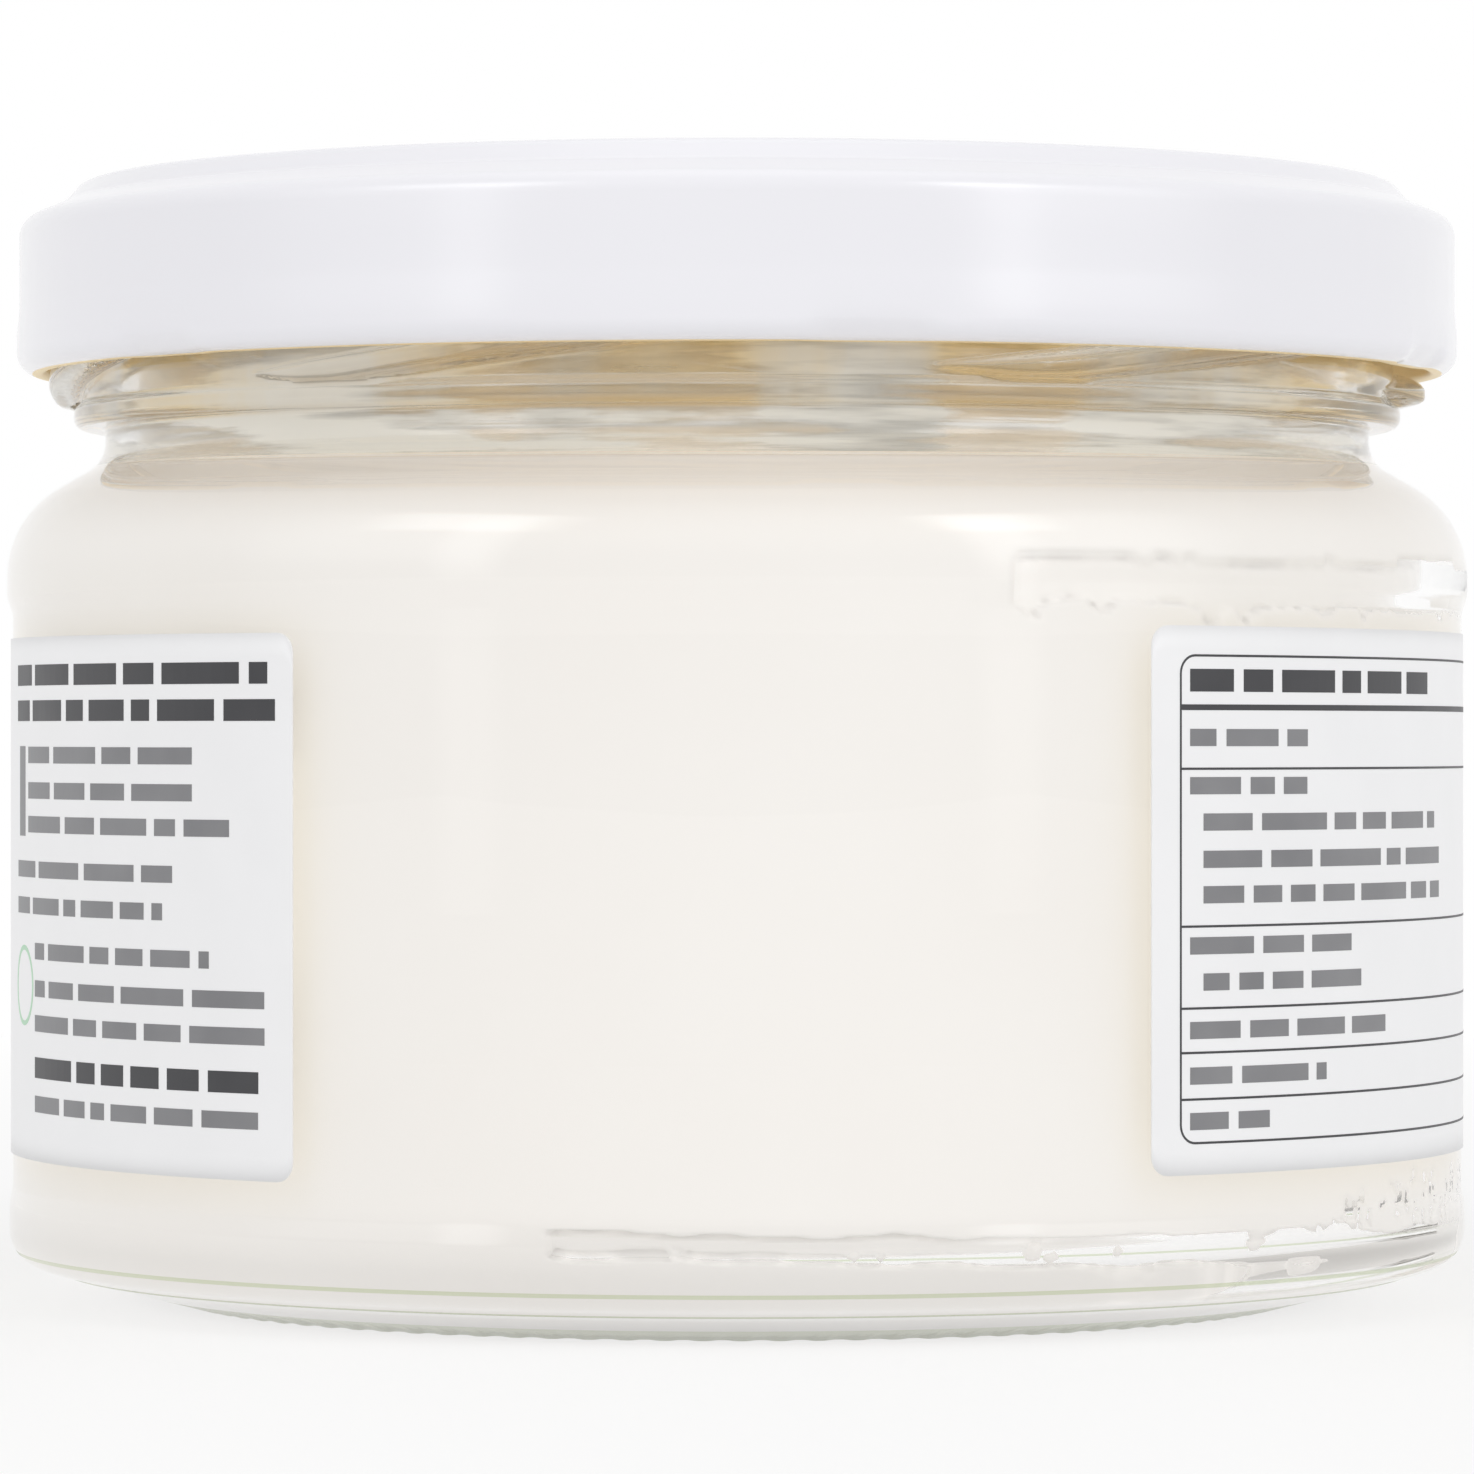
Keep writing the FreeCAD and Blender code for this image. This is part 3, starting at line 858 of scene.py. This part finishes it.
def buildLabel():
    s = labelSizes
    corner, steps = s["corner"], s["cornerSteps"]
    height = labelTop - labelBottom
    stops = [corner * (1 - math.cos(math.radians(90 / steps * k))) for k in range(steps + 1)]
    middle = [corner + (labelLength - 2 * corner) * k / s["columns"] for k in range(1, s["columns"])]
    columns = stops + middle + [labelLength - d for d in stops[::-1]]
    verts, faces = [], []
    thickness = labelRadius - panelRadius + s["lift"]
    for layer in (0.0, -thickness):
        for along in columns:
            near = min(along, labelLength - along, corner)
            trim = corner - math.sqrt(max(0.0, corner ** 2 - (corner - near) ** 2))
            for k in range(s["rows"] + 1):
                verts.append(onLabel(along, trim + (height - 2 * trim) * k / s["rows"], layer))
    count, rows = len(columns), s["rows"] + 1
    back = count * rows
    for c in range(count - 1):
        for k in range(s["rows"]):
            a = c * rows + k
            faces.append([a, a + rows, a + rows + 1, a + 1])
            faces.append([back + a, back + a + 1, back + a + rows + 1, back + a + rows])
        for k in (0, rows - 1):
            a = c * rows + k
            faces.append([a, a + rows, back + a + rows, back + a])
    for c in (0, count - 1):
        for k in range(s["rows"]):
            a = c * rows + k
            faces.append([a, a + 1, back + a + 1, back + a])
    label = finishMesh("wrapLabel", verts, faces, [paper], weld=True)
    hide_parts("label")
    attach(label, "root")


buildLabel()
print("label wrapped")


printSizes = {
    "ink": 0.012, "sink": 0.02,               # how far the ink stands out of the paper, and into it
    "seed": 7, "wordGap": 0.75, "wordLengths": (1.6, 6.5), "rowSlack": 0.8,
    "wordSteps": 7, "ruleSteps": 64, "cornerSteps": 8, "outlineStep": 1.0,
}


def makePrintTree(name, across):
    # flat printed bars at guide points, each as wide and tall as its point says, wrapped round the label
    tree = bpy.data.node_groups.new(name, "GeometryNodeTree")
    newSocket = tree.interface.new_socket
    newSocket(name="Guide", in_out="INPUT", socket_type="NodeSocketGeometry")
    for label in ("Label Radius", "Ink Thickness", "Start Angle"):
        newSocket(name=label, in_out="INPUT", socket_type="NodeSocketFloat")
    newSocket(name="Ink", in_out="INPUT", socket_type="NodeSocketMaterial")
    newSocket(name="Print", in_out="OUTPUT", socket_type="NodeSocketGeometry")
    given = addNode(tree, "NodeGroupInput")
    size = addNode(tree, "CombineXYZ", {"X": 1.0, "Y": 1.0, "Z": given["Ink Thickness"]})["Vector"]
    bar = addNode(tree, "GeometryNodeMeshCube", {"Size": size, "Vertices X": across})["Mesh"]
    wide, tall = [
        addNode(tree, "GeometryNodeInputNamedAttribute", {"Name": key}, data_type="FLOAT")["Attribute"]
        for key in ("wide", "tall")
    ]
    scale = addNode(tree, "CombineXYZ", {"X": wide, "Y": tall, "Z": 1.0})["Vector"]
    spread = {"Points": given["Guide"], "Instance": bar, "Scale": scale}
    bars = addNode(tree, "GeometryNodeInstanceOnPoints", spread)["Instances"]
    real = addNode(tree, "GeometryNodeRealizeInstances", {"Geometry": bars})["Geometry"]
    spot = addNode(tree, "GeometryNodeInputPosition")["Position"]
    flat = addNode(tree, "SeparateXYZ", {"Vector": spot})
    turn = addMath(tree, "DIVIDE", flat["X"], given["Label Radius"])
    turn = addMath(tree, "ADD", turn, given["Start Angle"])
    radius = addMath(tree, "ADD", flat["Z"], given["Label Radius"])
    x, y = [addMath(tree, "MULTIPLY", addMath(tree, kind, turn), radius) for kind in ("COSINE", "SINE")]
    wrapped = addNode(tree, "CombineXYZ", {"X": x, "Y": y, "Z": flat["Y"]})["Vector"]
    moved = addNode(tree, "GeometryNodeSetPosition", {"Geometry": real, "Position": wrapped})["Geometry"]
    inked = addNode(tree, "GeometryNodeSetMaterial", {"Geometry": moved, "Material": given["Ink"]})
    addNode(tree, "NodeGroupOutput", {"Print": inked["Geometry"]})
    return tree


wordTree = makePrintTree("wordBars", printSizes["wordSteps"])
ruleTree = makePrintTree("ruleBars", printSizes["ruleSteps"])


def printBars(name, tree, bars, ink):
    # bars are (along, up, width, height) in mm on the label
    level = (printSizes["ink"] - printSizes["sink"]) / 2 * mm
    guide = bpy.data.meshes.new(name + "Guide")
    verts = [(along * mm, (labelBottom + up + skewAt(along)) * mm, level) for along, up, _, _ in bars]
    guide.from_pydata(verts, [], [])
    for key, part in (("wide", 2), ("tall", 3)):
        values = [bar[part] * mm for bar in bars]
        guide.attributes.new(key, "FLOAT", "POINT").data.foreach_set("value", values)
    holder = bpy.data.objects.new(name + "Guide", guide)
    bpy.context.scene.collection.objects.link(holder)
    modifier = holder.modifiers.new("print", "NODES")
    modifier.node_group = tree
    inputs = {item.name: item.identifier for item in tree.interface.items_tree if item.in_out == "INPUT"}
    modifier[inputs["Label Radius"]] = labelRadius * mm
    modifier[inputs["Ink Thickness"]] = (printSizes["ink"] + printSizes["sink"]) * mm
    modifier[inputs["Start Angle"]] = math.radians(labelSizes["startAngle"] - 90)
    modifier[inputs["Ink"]] = ink
    bpy.context.view_layer.update()
    solid = bpy.data.meshes.new_from_object(holder.evaluated_get(bpy.context.evaluated_depsgraph_get()))
    bpy.data.objects.remove(holder)
    solid.name = name
    piece = bpy.data.objects.new(name, solid)
    bpy.context.scene.collection.objects.link(piece)
    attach(piece, "root")


def roundedLoop(middle, up, width, height, radius):
    # outline of a rounded panel on the label, as closed points (along, up)
    steps = printSizes["cornerSteps"]
    loop = []
    for k in range(4):
        across = middle + (width / 2 - radius) * (1, -1, -1, 1)[k]
        rise = up + (height / 2 - radius) * (1, 1, -1, -1)[k]
        for j in range(steps + 1):
            angle = math.radians(90 * k + 90 / steps * j)
            loop.append((across + radius * math.cos(angle), rise + radius * math.sin(angle)))
    filled = []
    for (a, b), (nextA, nextB) in zip(loop, loop[1:] + loop[:1]):
        count = max(1, math.ceil(abs(nextA - a) / printSizes["outlineStep"]))
        filled += [(a + (nextA - a) * k / count, b + (nextB - b) * k / count) for k in range(count)]
    return filled


def printOutline(name, loops, ink):
    # printed lines along closed loops, each (points, line width)
    verts, faces = [], []
    for points, width in loops:
        base, count = len(verts), len(points)
        for i, (a, b) in enumerate(points):
            way = unitBetween(points[i - 1], points[(i + 1) % count])
            for side, out in ((1, 1), (-1, 1), (-1, -1), (1, -1)):
                height = printSizes["ink"] if out > 0 else -printSizes["sink"]
                verts.append(onLabel(a + side * way[1] * width / 2, b - side * way[0] * width / 2, height))
        for i in range(count):
            here, there = base + 4 * i, base + 4 * ((i + 1) % count)
            for k in range(4):
                n = (k + 1) % 4
                faces.append([here + k, here + n, there + n, there + k])
    piece = finishMesh(name, verts, faces, [ink], smoothShaded=False)
    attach(piece, "root")


def wordRow(along, up, length, height, chooser):
    # one greeked row: bars as long as words, up to a length
    bars, used = [], 0.0
    while used < length - printSizes["rowSlack"]:
        word = min(chooser.uniform(*printSizes["wordLengths"]), length - used)
        bars.append((along + used + word / 2, up, word, height))
        used += word + printSizes["wordGap"]
    return bars


tableSizes = {
    "left": 1.95, "width": 46.0, "line": 0.13, "letter": 0.95,
    "rules": [(25.75, 0.32), (22.37, 0.13), (13.7, 0.13), (9.2, 0.13), (6.76, 0.13), (4.2, 0.13)],
    "frameLow": 1.76, "frameHigh": 28.56, "round": 1.0,
    "heading": (27.2, 0.65, 24.0, 1.25),      # height up the label, indent, length, size
    "rows": [                # height up the label, indent, length
        (24.05, 0.65, 9.5), (21.4, 0.65, 10.5), (19.4, 1.6, 24.0), (17.35, 1.6, 26.0), (15.4, 1.6, 25.0),
        (12.6, 0.65, 13.5), (10.6, 1.6, 14.0), (7.95, 0.65, 17.5), (5.45, 0.65, 11.0), (2.95, 0.65, 6.0),
    ],
}

textSizes = {
    "rows": [                # height up the label, start and end from its left-hand end, size, whether bold
        (28.0, 31.5, 1.75, 1.2, True), (25.95, 31.5, 1.2, 1.2, True),
        (23.4, 28.2, 7.6, 0.95, False), (21.35, 28.2, 7.6, 0.95, False), (19.4, 28.2, 4.6, 0.95, False),
        (16.8, 31.3, 9.3, 0.95, False), (14.7, 31.3, 10.2, 0.95, False),
        (12.1, 26.6, 6.2, 0.95, False), (9.95, 26.6, 1.75, 0.95, False), (7.95, 26.6, 1.95, 0.95, False),
        (5.4, 26.6, 2.4, 1.2, True), (3.3, 26.6, 1.3, 0.95, False),
    ],
    "block": (29.85, 21.3, 1.7, 5.2),         # upright block beside the rows
    "ring": (29.3, 10.05, 2.2, 0.28),
}

frontSizes = {               # the middle of the label, opposite the gap between its ends
    "frames": [(64.0, 26.2, 3.0, 0.5), (61.6, 23.8, 2.0, 0.15)],
    "title": [(-12.5, 20.6, 23.0, 3.4), (13.5, 20.6, 19.0, 3.4), (0.0, 15.4, 34.0, 2.2)],
    "lines": [(0.0, 12.7, 50.0, 0.3)],
    "rows": [(-22.0, 10.3, 44.0), (-22.0, 8.2, 44.0), (-14.0, 5.6, 28.0)],
    "sideRows": [(36.5, 24.0), (-60.5, 24.0)],               # start beside the front, and length
    "sideHeights": (27.2, 25.1, 22.4, 20.3, 18.2, 15.5, 13.4, 10.7, 8.6, 5.9, 3.8),
    "sideShare": (0.6, 1.0),
}


def buildPrint():
    chooser = random.Random(printSizes["seed"])
    t, f = tableSizes, frontSizes
    middle = t["left"] + t["width"] / 2
    front = labelLength / 2
    rules = [(middle, up, t["width"], thick) for up, thick in t["rules"]]
    up, indent, length, height = t["heading"]
    bold, plain = wordRow(t["left"] + indent, up, length, height, chooser), []
    for up, indent, length in t["rows"]:
        plain += wordRow(t["left"] + indent, up, length, t["letter"], chooser)
    for up, start, end, height, strong in textSizes["rows"]:
        row = wordRow(labelLength - start, up, start - end, height, chooser)
        (bold if strong else plain).extend(row)
    away, up, width, height = textSizes["block"]
    plain.append((labelLength - away, up, width, height))
    bold += [(front + along, up, width, height) for along, up, width, height in f["title"]]
    for along, up, length in f["rows"]:
        plain += wordRow(front + along, up, length, t["letter"], chooser)
    for along, length in f["sideRows"]:
        for up in f["sideHeights"]:
            share = chooser.uniform(*f["sideShare"])
            plain += wordRow(front + along, up, length * share, t["letter"], chooser)
    printBars("printRules", ruleTree, rules, darkInk)
    printBars("printBold", wordTree, bold, darkInk)
    printBars("printPlain", wordTree, plain, greyInk)
    printBars("frontRules", ruleTree, [(front + a, up, w, h) for a, up, w, h in f["lines"]], greenInk)
    tall = t["frameHigh"] - t["frameLow"]
    border = roundedLoop(middle, (t["frameLow"] + t["frameHigh"]) / 2, t["width"], tall, t["round"])
    printOutline("tableFrame", [(border, t["line"])], darkInk)
    away, up, radius, ringLine = textSizes["ring"]
    outlines = [(roundedLoop(labelLength - away, up, 2 * radius, 2 * radius, radius), ringLine)]
    for width, height, radius, line in f["frames"]:
        outlines.append((roundedLoop(front, (labelTop - labelBottom) / 2, width, height, radius), line))
    printOutline("printOutlines", outlines, greenInk)


buildPrint()
print("label printed")


studioSizes = {
    "floor": 6.0, "floorColour": (0.95, 0.95, 0.95, 1.0), "floorRoughness": 0.8,
    "floorFade": (0.05, 0.4, 0.62, 1.0),      # the floor turns to plain white with distance
    "floorPaintedGlow": (0.030, 0.040, 0.35, 0.84),               # light it gives back as a painted glow, dim under the jar as a painted shadow and brighter around it
    "mirrored": (-0.3, 0.35, 0.8, 1.0),       # what gloss sees of the room in front, and of the backdrop
    "worldFill": (0.35, 1.0, 0.70, 0.46),     # light from front and back, and from the sides
    "panels": [              # bearing from the front, width, height, middle above the floor, brightness
        ("leftPanel", -58.0, 1.1, 1.0, 0.48, 0.51), ("rightPanel", 58.0, 1.1, 1.0, 0.48, 0.93),
        ("leftStrip", -41.0, 0.26, 1.0, 0.40, 1.2), ("rightStrip", 42.0, 0.26, 1.0, 0.40, 1.3),
        ("leftHigh", -48.0, 0.75, 0.42, 0.75, 2.0), ("rightHigh", 45.0, 0.5, 0.42, 0.75, 2.1),
    ],
    "softEdge": (0.4, 0.25),                  # share of a lamp's width and height over which it fades
    "panelDistance": 0.9, "panelGap": 0.02,
    "top": 0.45, "topSize": 1.2, "topPlace": (0.0, 0.05, 1.3),
}


def addFloor():
    s = studioSizes
    half = s["floor"] / 2
    mesh = bpy.data.meshes.new("studioFloor")
    corners = [(-half, -half, 0), (half, -half, 0), (half, half, 0), (-half, half, 0)]
    mesh.from_pydata(corners, [], [(0, 1, 2, 3)])
    floor = bpy.data.objects.new("studioFloor", mesh)
    bpy.context.scene.collection.objects.link(floor)
    material, tree = newMaterial("paleSweep")
    away = addNode(tree, "VectorMath", {0: addNode(tree, "TexCoord")["Object"]}, operation="LENGTH")["Value"]
    rays = addNode(tree, "LightPath")
    seen = addMath(tree, "MAXIMUM", rays["Is Camera Ray"], rays["Is Glossy Ray"])
    seen = addMath(tree, "MAXIMUM", seen, rays["Is Transmission Ray"])
    white = addMath(tree, "MULTIPLY", seen, addRange(tree, away, s["floorFade"]))
    glowing = addMath(tree, "MAXIMUM", white, rays["Is Diffuse Ray"])
    # painted glow for diffuse rays, darker under the jar as a painted shadow
    given = addRange(tree, away, s["floorPaintedGlow"])
    strength = addNode(tree, "Mix", {"Factor": rays["Is Diffuse Ray"], "A": 1.0, "B": given})["Result"]
    lit = addNode(tree, "BsdfPrincipled", {
        "Base Color": s["floorColour"], "Roughness": s["floorRoughness"], "Specular IOR Level": 0.0,
    })["BSDF"]
    glow = addNode(tree, "Emission", {"Strength": strength})["Emission"]
    mixed = addNode(tree, "MixShader", {"Fac": glowing, 1: lit, 2: glow})
    addNode(tree, "OutputMaterial", {"Surface": mixed["Shader"]})
    material.cycles.emission_sampling = "NONE"
    mesh.materials.append(material)


def addWorld():
    # white wherever it is seen, a little softer as light, and dim in front for what mirrors it
    s = studioSizes
    world = bpy.data.worlds.new("studioWorld")
    bpy.context.scene.world = world
    world.use_nodes = True
    tree = world.node_tree
    tree.nodes.clear()
    rays = addNode(tree, "LightPath")
    way = addNode(tree, "SeparateXYZ", {"Vector": addNode(tree, "TexCoord")["Generated"]})
    aside = addMath(tree, "ABSOLUTE", way["X"])
    fill = addRange(tree, aside, s["worldFill"], interpolation_type="SMOOTHSTEP")
    mirrored = addRange(tree, way["Y"], s["mirrored"], interpolation_type="SMOOTHSTEP")
    light = addNode(tree, "Mix", {"Factor": rays["Is Glossy Ray"], "A": fill, "B": mirrored})["Result"]
    seen = addMath(tree, "MAXIMUM", rays["Is Camera Ray"], rays["Is Transmission Ray"])
    strength = addNode(tree, "Mix", {"Factor": seen, "A": light, "B": 1.0})["Result"]
    backdrop = addNode(tree, "Background", {"Color": (1, 1, 1, 1), "Strength": strength})
    addNode(tree, "OutputWorld", {"Surface": backdrop["Background"]})


def addLamp(name, place, width, height, radiance):
    data = bpy.data.lights.new(name, "AREA")
    data.shape = "RECTANGLE"
    data.size = width
    data.size_y = height
    data.energy = radiance * width * height * math.pi
    data.use_nodes = True
    tree = data.node_tree
    spot = addNode(tree, "SeparateXYZ", {"Vector": addNode(tree, "NewGeometry")["Parametric"]})
    faded = []
    for k, soft in enumerate(studioSizes["softEdge"]):
        inward = addMath(tree, "PINGPONG", spot[k], 0.5)
        faded.append(addRange(tree, inward, (0.0, soft), interpolation_type="SMOOTHSTEP"))
    tree.links.new(addMath(tree, "MULTIPLY", *faded), tree.nodes["Emission"].inputs["Strength"])
    lamp = bpy.data.objects.new(name, data)
    lamp.location = place
    aim = Vector((0, 0, jarSizes["bodyHeight"] * mm / 2)) - Vector(place)
    lamp.rotation_euler = aim.to_track_quat("-Z", "Y").to_euler()
    bpy.context.scene.collection.objects.link(lamp)


def addStudio():
    s = studioSizes
    addFloor()
    addWorld()
    for k, (name, bearing, width, height, middle, radiance) in enumerate(s["panels"]):
        around = math.radians(bearing - 90)
        away = s["panelDistance"] - s["panelGap"] * (k // 2)         # each pair stands before the last
        addLamp(name, (away * math.cos(around), away * math.sin(around), middle), width, height, radiance)
    addLamp("topPanel", s["topPlace"], s["topSize"], s["topSize"], s["top"])


addStudio()
print("studio lit")

bpy.context.scene.view_settings.view_transform = "Standard"
